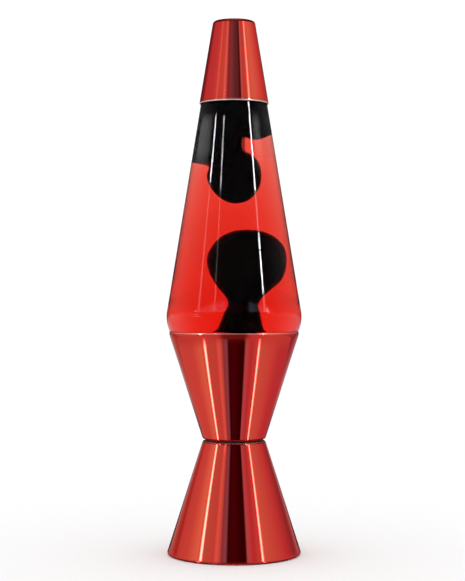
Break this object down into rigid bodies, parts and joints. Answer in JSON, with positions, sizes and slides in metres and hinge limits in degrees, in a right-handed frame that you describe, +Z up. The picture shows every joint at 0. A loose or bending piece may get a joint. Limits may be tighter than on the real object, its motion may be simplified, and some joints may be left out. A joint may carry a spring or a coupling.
{
  "type": "lava lamp",
  "caption": "Lava lamp: tapered glass globe of dark wax in red liquid, red metal cap, and an hourglass base of two red metal cones over a screw-in bulb.",
  "frame": {"origin": "on the surface the lamp stands on, at the centre of its feet, under the lamp's axis", "axes": "+Z up along the lamp's axis; -Y is the front; +Y the back, where the cord inlet is; +X the viewer's right"},
  "size_m": [0.0932, 0.0932, 0.3682],
  "materials": {
    "red_metal": "spun aluminium with a mirror-bright translucent red lacquer",
    "globe_glass": "clear blown glass",
    "red_liquid": "clear liquid dyed orange-red",
    "black_wax": "opaque black wax, glossy under the liquid",
    "spring_steel": "bright wire",
    "tinplate": "tin-plated steel",
    "liner": "soft moulded liner",
    "fibre": "black vulcanised fibre",
    "phenolic": "moulded black phenolic",
    "brass": "pressed brass",
    "bulb_brass": "thin pressed brass",
    "zinc_steel": "zinc-plated steel",
    "solder": "dull solder",
    "black_glass": "black glass insulator",
    "bulb_glass": "clear thin glass",
    "stem_glass": "pressed stem glass",
    "lead_wire": "nickel wire",
    "tungsten": "coiled tungsten",
    "cover_plastic": "textured black moulding",
    "gland_plastic": "black nylon",
    "rubber": "black rubber",
    "black_sheath": "soft insulation",
    "white_sheath": "soft insulation",
    "blue_sheath": "crimp sleeve"
  },
  "bodies": {
    "base": {"rubber_feet": "rubber", "bottom_cover": "cover_plastic", "lower_cone": "red_metal", "cord_gland": "gland_plastic", "waist_spacer": "fibre", "upper_cone": "red_metal", "ring_nut": "phenolic", "lampholder_body": "phenolic", "lampholder_sleeve": "brass", "lampholder_contact": "brass", "terminal_plates": "brass", "terminal_screws": "zinc_steel", "lead_live": "black_sheath", "lead_neutral": "white_sheath", "crimp_connectors": "blue_sheath"},
    "bulb_tip": {"bulb_tip": "solder"},
    "bulb": {"bulb_insulator": "black_glass", "bulb_screw_shell": "bulb_brass", "bulb_glass": "bulb_glass", "bulb_stem": "stem_glass", "bulb_support_wires": "lead_wire", "bulb_filament": "tungsten"},
    "globe": {"globe_glass": "globe_glass", "crown": "tinplate", "crown_liner": "liner", "liquid": "red_liquid", "heating_coil": "spring_steel", "wax_pool": "black_wax", "wax_ceiling": "black_wax"},
    "wax_head": {"wax_column_head": "black_wax"},
    "wax_drop": {"wax_drop": "black_wax"},
    "cap": {"cap": "red_metal"}
  },
  "joints": [
    {"name": "globe_lift", "type": "slide", "parent": "base", "child": "globe", "axis": [0, 0, 1], "range_m": [0, 0.06]},
    {"name": "cap_lift", "type": "slide", "parent": "globe", "child": "cap", "axis": [0, 0, 1], "range_m": [0, 0.08]},
    {"name": "bulb_rise", "type": "slide", "parent": "base", "child": "bulb_tip", "axis": [0, 0, 1], "range_m": [0, 0.0142]},
    {"name": "bulb_turn", "type": "hinge", "parent": "bulb_tip", "child": "bulb", "pos_m": [0, 0, 0.08], "axis": [0, 0, 1], "range_deg": [0, 1800]},
    {"name": "wax_head_rise", "type": "slide", "parent": "globe", "child": "wax_head", "axis": [0, 0, 1], "range_m": [0, 0.007], "deforming": ["wax_pool", "liquid"]},
    {"name": "wax_drop_fall", "type": "slide", "parent": "globe", "child": "wax_drop", "axis": [0, 0, -1], "range_m": [0, 0.007], "deforming": ["wax_ceiling"]}
  ],
  "couplings": [
    {"joint": "bulb_rise", "follows": "bulb_turn", "m_per_rad": 0.00044882}
  ]
}
